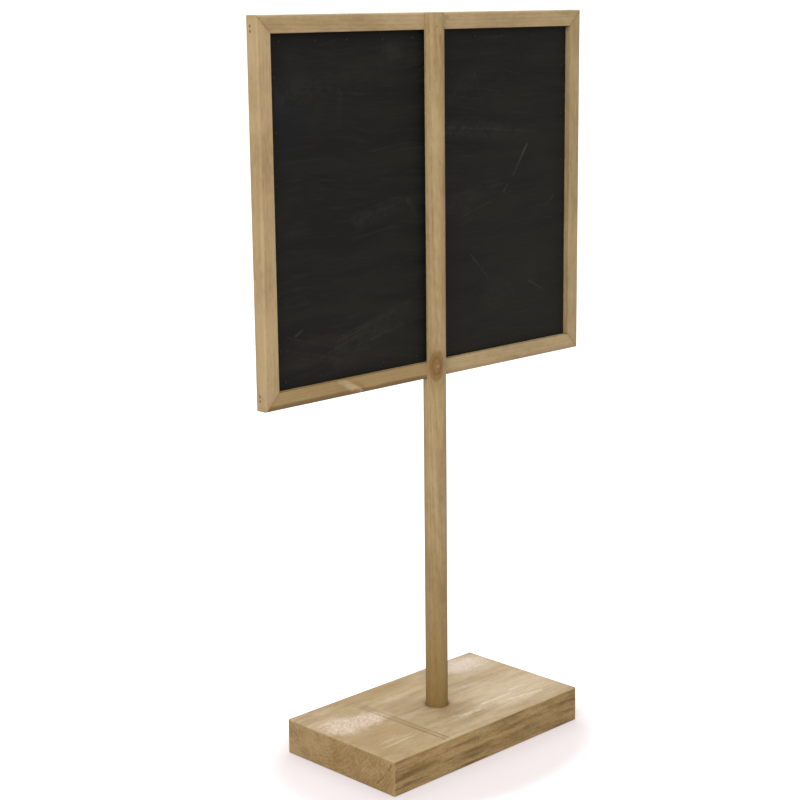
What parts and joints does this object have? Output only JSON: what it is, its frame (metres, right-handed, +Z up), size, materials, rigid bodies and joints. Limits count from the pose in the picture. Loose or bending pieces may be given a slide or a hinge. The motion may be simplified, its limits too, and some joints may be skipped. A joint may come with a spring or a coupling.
{
  "type": "table chalkboard sign",
  "caption": "Small framed chalkboard carried at its back on a round wooden post that stands in a rectangular wooden base.",
  "frame": {"origin": "centre of the base block's underside, on the surface that the sign stands on", "axes": "+Z up; -Y towards the side that the post runs over, so +Y is the way the plain writing face looks; +X to the right when the post side is looked at"},
  "size_m": [0.298, 0.105, 0.5],
  "materials": {
    "frame_wood": "bare sanded pine, aged to a light khaki tan",
    "post_wood": "bare sanded pine dowel with a knot",
    "base_wood": "rough pine with thin worn whitewash",
    "chalkboard": "matt black chalkboard paint on thin board",
    "fastener_steel": "dull plain steel"
  },
  "bodies": {
    "root": {"base_block": "base_wood", "post": "post_wood", "left_stile": "frame_wood", "right_stile": "frame_wood", "top_rail": "frame_wood", "bottom_rail": "frame_wood", "chalkboard_panel": "chalkboard", "panel_pins": "fastener_steel", "corner_brads": "fastener_steel", "post_nails": "fastener_steel", "base_screw": "fastener_steel"}
  },
  "joints": []
}
